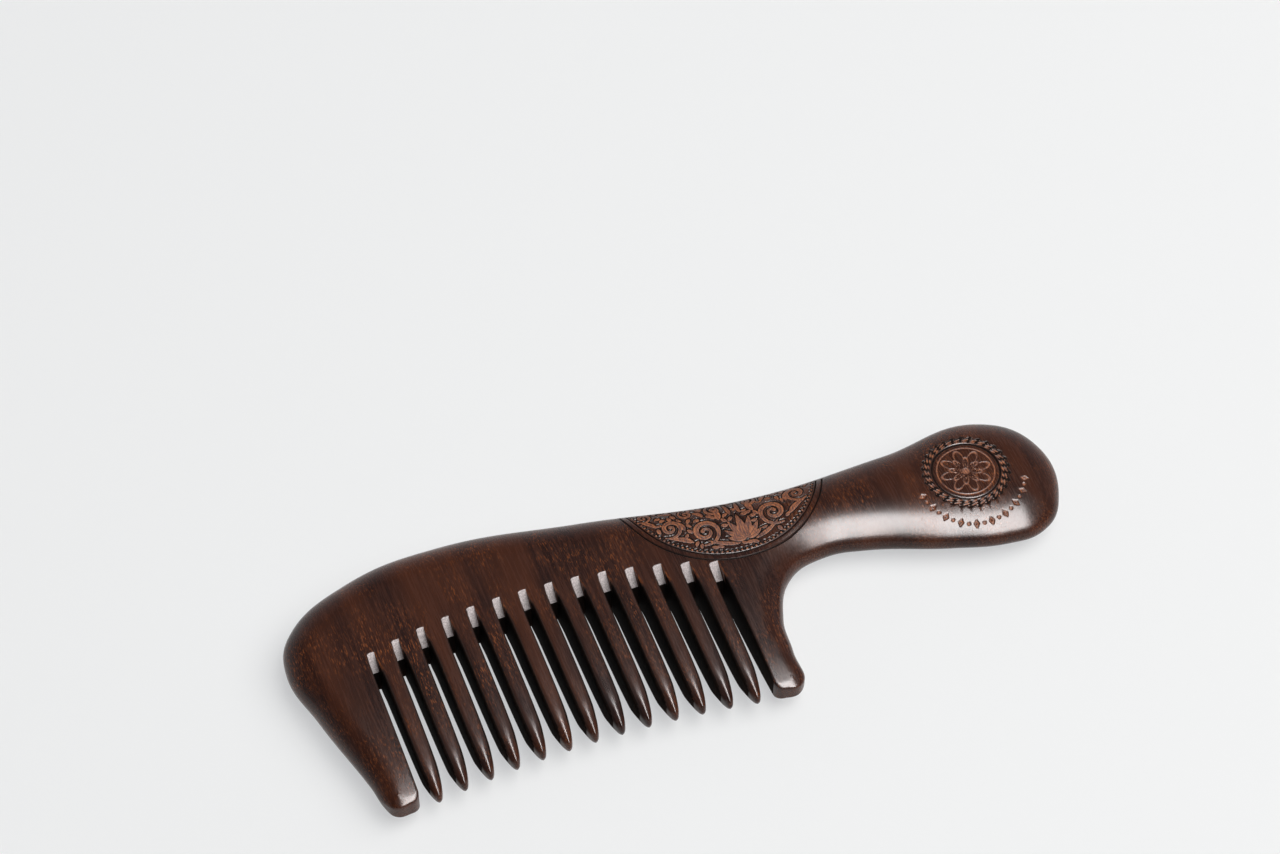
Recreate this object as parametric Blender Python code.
"""Wide-tooth comb cut from one hardwood board: a thick head, thirteen teeth, two guards and a handle.

Metres, +Z up. The comb lies flat on z = 0 with its handle towards +X and its teeth towards -Y.
The carved board is divided into head, handle, guards and teeth, so that the gaps between
the teeth stay open. Each dividing cut is PART_GAP wide.
"""

import math

import bmesh
import bpy
import numpy as np
from mathutils import Vector

# Overall sizes.
LENGTH = 0.190
WIDTH = 0.067
THICKNESS = 0.0115
PART_GAP = 0.0003

# Teeth and the slots between them.
TOOTH_COUNT = 13
FIRST_SLOT = -0.3998 * LENGTH
LAST_SLOT = 0.0342 * LENGTH
PITCH = (LAST_SLOT - FIRST_SLOT) / TOOTH_COUNT
ROOT_SLOT_WIDTH = 0.0020
TOOTH_ROOT_WIDTH = PITCH - ROOT_SLOT_WIDTH
TOOTH_TIP_WIDTH = 0.0038
TOOTH_POINT_LENGTH = 0.0095
TOOTH_EDGE_RADIUS = 0.0009

# Slot roots lie on one arc and tooth tips on another, both rising at the middle of the row.
ROOT_ARC_X = -0.221 * LENGTH
ROOT_ARC_TOP = 0.677 * WIDTH
ROOT_ARC_RADIUS = 0.1425
TIP_ARC_X = -0.206 * LENGTH
TIP_ARC_TOP = 0.062 * WIDTH
TIP_ARC_RADIUS = 0.247

# Each slot root has a wide 45 degree bevel on the upper face and a narrow one below.
UPPER_BEVEL = 0.0034
LOWER_BEVEL = 0.0010

# The board thins towards the tips: (share of the width, share of the thickness).
THINNING = ((0.0, 0.48), (0.20, 0.78), (0.50, 1.0))

# The handle is divided from the head here, at the narrow neck.
NECK_X = 0.150 * LENGTH

# The cut between the right guard and the head falls this much per metre towards the neck, so that
# it meets the hollow curve nearly square.
GUARD_CUT_FALL = 0.5

# Outline, anticlockwise from the left end: x as a share of LENGTH, y as a share of WIDTH,
# and how far in from the edge the face rolls over, in metres.
OUTLINE = (
    (-0.500, 0.688, 0.0085),
    (-0.484, 0.470, 0.0070),
    (-0.454, 0.162, 0.0042),
    (-0.446, 0.066, 0.0028),
    (-0.437, 0.032, 0.0020),
    (-0.415, 0.029, 0.0020),
    (-0.190, 0.030, 0.0020),
    (0.039, 0.010, 0.0020),
    (0.074, 0.006, 0.0020),
    (0.083, 0.144, 0.0038),
    (0.090, 0.281, 0.0055),
    (0.127, 0.448, 0.0075),
    (0.179, 0.488, 0.0090),
    (0.227, 0.468, 0.0090),
    (0.375, 0.335, 0.0105),
    (0.407, 0.313, 0.0110),
    (0.481, 0.389, 0.0110),
    (0.492, 0.663, 0.0110),
    (0.435, 0.818, 0.0110),
    (0.302, 0.805, 0.0095),
    (0.114, 0.802, 0.0090),
    (-0.097, 0.916, 0.0090),
    (-0.271, 0.994, 0.0090),
    (-0.394, 0.960, 0.0090),
    (-0.484, 0.817, 0.0088),
)
HANDLE_SHARE = 0.39
SAMPLES_PER_SPAN = 5
ROLL_STEPS = 4

CUT_MARGIN = 0.004


def clear_scene():
    for obj in list(bpy.data.objects):
        bpy.data.objects.remove(obj, do_unlink=True)


def make_material(name, colour, roughness):
    material = bpy.data.materials.new(name)
    material.use_nodes = True
    shader = material.node_tree.nodes["Principled BSDF"]
    shader.inputs["Base Color"].default_value = (*colour, 1.0)
    shader.inputs["Roughness"].default_value = roughness
    shader.inputs["Metallic"].default_value = 0.0
    return material


def mesh_object(name, mesh_bmesh, material=None):
    bmesh.ops.recalc_face_normals(mesh_bmesh, faces=mesh_bmesh.faces)
    mesh = bpy.data.meshes.new(name)
    mesh_bmesh.to_mesh(mesh)
    mesh_bmesh.free()
    obj = bpy.data.objects.new(name, mesh)
    bpy.context.scene.collection.objects.link(obj)
    if material:
        mesh.materials.append(material)
    return obj


def make_cutter(name, cutter_bmesh):
    cutter = mesh_object(name, cutter_bmesh)
    cutter.hide_render = True
    cutter.display_type = "WIRE"
    return cutter


def centred_y(distance_from_front):
    return distance_from_front - WIDTH / 2


def arc_y(x, arc_x, arc_top, radius):
    """Height in plan of an arc that peaks at (arc_x, arc_top)."""
    return centred_y(arc_top - radius + math.sqrt(radius**2 - (x - arc_x) ** 2))


def root_y(x):
    """Where a slot's upper face ends."""
    return arc_y(x, ROOT_ARC_X, ROOT_ARC_TOP, ROOT_ARC_RADIUS)


def ridge_y(x):
    """The foot of the upper bevel, where the slot's root wall stands."""
    return root_y(x) - UPPER_BEVEL


def tip_y(x):
    return arc_y(x, TIP_ARC_X, TIP_ARC_TOP, TIP_ARC_RADIUS)


def thickness_share(y):
    shares = [centred_y(place * WIDTH) for place, _ in THINNING]
    return float(np.interp(y, shares, [share for _, share in THINNING]))


def smooth_outline():
    """Closed curve through OUTLINE, fitted to the overall length and width.

    Each span is a cubic Bezier curve. At a station the curve runs along the mean direction of
    the two spans that meet there, and each handle is HANDLE_SHARE of its own span.
    """
    stations = np.array(OUTLINE) * (LENGTH, WIDTH, 1)
    span = np.roll(stations, -1, axis=0) - stations
    size = np.linalg.norm(span[:, :2], axis=1, keepdims=True)
    heading = span / size + np.roll(span / size, 1, axis=0)
    heading /= np.linalg.norm(heading[:, :2], axis=1, keepdims=True)
    leaving = stations + heading * size * HANDLE_SHARE
    arriving = stations - heading * np.roll(size, 1, axis=0) * HANDLE_SHARE
    arriving = np.roll(arriving, -1, axis=0)
    end = np.roll(stations, -1, axis=0)
    t = np.arange(SAMPLES_PER_SPAN)[:, None, None] / SAMPLES_PER_SPAN
    curve = stations * (1 - t) ** 3 + 3 * leaving * t * (1 - t) ** 2
    curve = curve + 3 * arriving * t**2 * (1 - t) + end * t**3
    curve = curve.transpose(1, 0, 2).reshape(-1, 3)
    low = curve.min(axis=0)[:2]
    high = curve.max(axis=0)[:2]
    curve[:, :2] = (curve[:, :2] - (low + high) / 2) * (LENGTH, WIDTH) / (high - low)
    return curve


def inward_normals(curve):
    """Unit normals in plan of an anticlockwise curve, pointing into the board."""
    along = np.roll(curve, -1, axis=0) - np.roll(curve, 1, axis=0)
    inward = np.stack([-along[:, 1], along[:, 0]], axis=1)
    return inward / np.linalg.norm(inward, axis=1, keepdims=True)


def board_bmesh(thinned):
    """The whole board with its rolled-over edge: rings of one quarter ellipse, above and below."""
    curve = smooth_outline()
    inward = inward_normals(curve)
    board = bmesh.new()
    rings = []
    for step in range(-ROLL_STEPS, ROLL_STEPS + 1):
        angle = math.pi / 2 * step / ROLL_STEPS
        plan = curve[:, :2] + inward * curve[:, 2:] * (1 - math.cos(angle))
        height = THICKNESS / 2 * (1 + math.sin(angle))
        rings.append([board.verts.new((x, y, height)) for x, y in plan])
    for lower, upper in zip(rings, rings[1:]):
        for i, vert in enumerate(lower):
            j = (i + 1) % len(lower)
            board.faces.new((vert, lower[j], upper[j], upper[i]))
    board.faces.new(rings[0][::-1])
    board.faces.new(rings[-1])
    if thinned:
        thin_towards_tips(board)
    return board


def thin_towards_tips(board):
    """Crease the faces at each thinning line, then draw them in towards mid-thickness."""
    for place, _ in THINNING[1:]:
        geometry = board.verts[:] + board.edges[:] + board.faces[:]
        line = Vector((0, centred_y(place * WIDTH), 0))
        bmesh.ops.bisect_plane(board, geom=geometry, plane_co=line, plane_no=(0, 1, 0))
    middle = THICKNESS / 2
    for vert in board.verts:
        vert.co.z = middle + (vert.co.z - middle) * thickness_share(vert.co.y)


def keep_side(board, x, sign):
    """Cut the board square across at x and keep the side that sign points to."""
    geometry = board.verts[:] + board.edges[:] + board.faces[:]
    cut = bmesh.ops.bisect_plane(
        board,
        geom=geometry,
        plane_co=(x, 0, 0),
        plane_no=(-sign, 0, 0),
        clear_outer=True,
    )
    edges = [item for item in cut["geom_cut"] if isinstance(item, bmesh.types.BMEdge)]
    bmesh.ops.contextual_create(board, geom=edges)


def prism(cutter, corners, axis, start, end):
    """Add a prism to a cutter: corners in the plane across an axis, from start to end along it."""
    ends = []
    for along in (start, end):
        ring = []
        for first, second in corners:
            place = (first, second, along) if axis == "Z" else (along, first, second)
            ring.append(cutter.verts.new(place))
        ends.append(ring)
    for i, vert in enumerate(ends[0]):
        j = (i + 1) % len(corners)
        cutter.faces.new((vert, ends[0][j], ends[1][j], ends[1][i]))
    cutter.faces.new(ends[0][::-1])
    cutter.faces.new(ends[1])


def plan_cutter(name, corners):
    cutter = bmesh.new()
    prism(cutter, corners, "Z", -CUT_MARGIN, THICKNESS + CUT_MARGIN)
    return make_cutter(name, cutter)


def slot_centres():
    return [FIRST_SLOT + PITCH * i for i in range(TOOTH_COUNT + 1)]


def inner_walls():
    """x of the slot-side wall of the left and of the right guard."""
    return FIRST_SLOT - ROOT_SLOT_WIDTH / 2, LAST_SLOT + ROOT_SLOT_WIDTH / 2


def guard_cut_end():
    """y of the right guard's cut at x = LENGTH, where its cutters end."""
    wall = inner_walls()[1]
    return ridge_y(wall) - GUARD_CUT_FALL * (LENGTH - wall)


def tooth_row_cutter():
    """Everything in front of the slot roots, across the guards as well."""
    left, right = inner_walls()
    edge_y = centred_y(-CUT_MARGIN)
    corners = [(LENGTH, guard_cut_end())]
    for x in np.linspace(right, left, 3 * TOOTH_COUNT + 1):
        corners.append((x, ridge_y(x)))
    corners.append((-LENGTH, ridge_y(left)))
    corners.append((-LENGTH, edge_y))
    corners.append((right, edge_y))
    return plan_cutter("cut_tooth_row", corners)


def bevel_cutter():
    """The bevels on the upper and the lower face of each slot root."""
    cutter = bmesh.new()
    over = CUT_MARGIN
    for x in slot_centres():
        wall = ridge_y(x)
        top = THICKNESS - UPPER_BEVEL
        upper = [
            (wall - over, top - over),
            (wall + UPPER_BEVEL + over, THICKNESS + over),
            (wall - over, THICKNESS + over),
        ]
        lower = [
            (wall - over, LOWER_BEVEL + over),
            (wall - over, -over),
            (wall + LOWER_BEVEL + over, -over),
        ]
        for corners in (upper, lower):
            prism(cutter, corners, "X", x - ROOT_SLOT_WIDTH / 2, x + ROOT_SLOT_WIDTH / 2)
    return make_cutter("cut_slot_bevels", cutter)


def guard_keeper(name, side):
    """The block that a guard is kept from, on the side given by its sign."""
    left, right = inner_walls()
    front = centred_y(-CUT_MARGIN)
    if side < 0:
        top = ridge_y(left) - PART_GAP
        return plan_cutter(name, [(left, front), (left, top), (-LENGTH, top), (-LENGTH, front)])
    gap = PART_GAP * math.hypot(1, GUARD_CUT_FALL)
    far = (LENGTH, guard_cut_end() - gap)
    return plan_cutter(name, [(right, front), far, (right, ridge_y(right) - gap)])


def apply_boolean(obj, operation, cutter):
    modifier = obj.modifiers.new(cutter.name, "BOOLEAN")
    modifier.operation = operation
    modifier.solver = "EXACT"
    modifier.object = cutter


def build_head(material):
    board = board_bmesh(thinned=True)
    keep_side(board, NECK_X - PART_GAP / 2, -1)
    head = mesh_object("head", board, material)
    apply_boolean(head, "DIFFERENCE", tooth_row_cutter())
    apply_boolean(head, "DIFFERENCE", bevel_cutter())
    return head


def build_handle(material):
    board = board_bmesh(thinned=False)
    keep_side(board, NECK_X + PART_GAP / 2, 1)
    return mesh_object("handle", board, material)


def build_guard(name, side, material):
    board = board_bmesh(thinned=True)
    keep_side(board, NECK_X - PART_GAP / 2, -1)
    guard = mesh_object(name, board, material)
    apply_boolean(guard, "INTERSECT", guard_keeper("keep_" + name, side))
    return guard


def tooth_section(half_width, half_thickness):
    """Rounded rectangle across a tooth, three points to a corner, as (x, z) pairs."""
    radius = min(TOOTH_EDGE_RADIUS, 0.9 * half_width, 0.9 * half_thickness)
    points = []
    for quarter in range(4):
        across = 1 if quarter in (0, 3) else -1
        up = 1 if quarter in (0, 1) else -1
        for step in range(3):
            angle = math.pi / 2 * (quarter + step / 2)
            x = across * (half_width - radius) + radius * math.cos(angle)
            z = up * (half_thickness - radius) + radius * math.sin(angle)
            points.append((x, z))
    return points


def tooth_size(share):
    """Share of the full tooth section left at a share of the point's length from its tip."""
    return math.sqrt(1 - (1 - share) ** 2) ** 1.15


def build_tooth(number, material):
    """Loft from the root wall down to a rounded point, narrowing and thinning on the way."""
    x = FIRST_SLOT + PITCH * (number - 0.5)
    tip = tip_y(x)
    back = min(ridge_y(x - PITCH / 2), ridge_y(x + PITCH / 2), ridge_y(x)) - PART_GAP
    stations = [(back, 1.0)]
    crease = centred_y(THINNING[2][0] * WIDTH)
    if crease < back - PART_GAP:
        stations.append((crease, 1.0))
    stations.append(((crease + tip + TOOTH_POINT_LENGTH) / 2, 1.0))
    for share in (1.0, 0.62, 0.34, 0.15, 0.04):
        stations.append((tip + share * TOOTH_POINT_LENGTH, tooth_size(share)))
    tooth = bmesh.new()
    rings = []
    for y, size in stations:
        along = (y - tip) / (back - tip)
        width = TOOTH_TIP_WIDTH + (TOOTH_ROOT_WIDTH - TOOTH_TIP_WIDTH) * along
        height = THICKNESS * thickness_share(y)
        section = tooth_section(width * size / 2, height * size / 2)
        rings.append([tooth.verts.new((x + dx, y, THICKNESS / 2 + dz)) for dx, dz in section])
    for near, far in zip(rings, rings[1:]):
        for i, vert in enumerate(near):
            j = (i + 1) % len(near)
            tooth.faces.new((vert, near[j], far[j], far[i]))
    tooth.faces.new(rings[0])
    point = tooth.verts.new((x, tip, THICKNESS / 2))
    for i, vert in enumerate(rings[-1]):
        tooth.faces.new((vert, rings[-1][(i + 1) % len(rings[-1])], point))
    return mesh_object(f"tooth_{number:02d}", tooth, material)


def build_comb():
    clear_scene()
    polished = make_material("waxed_dark_hardwood", (0.045, 0.018, 0.015), 0.32)
    teeth_finish = make_material("waxed_tooth_wood", (0.050, 0.020, 0.016), 0.36)
    build_head(polished)
    build_handle(polished)
    build_guard("guard_left", -1, polished)
    build_guard("guard_right", 1, polished)
    for number in range(1, TOOTH_COUNT + 1):
        build_tooth(number, teeth_finish)


build_comb()
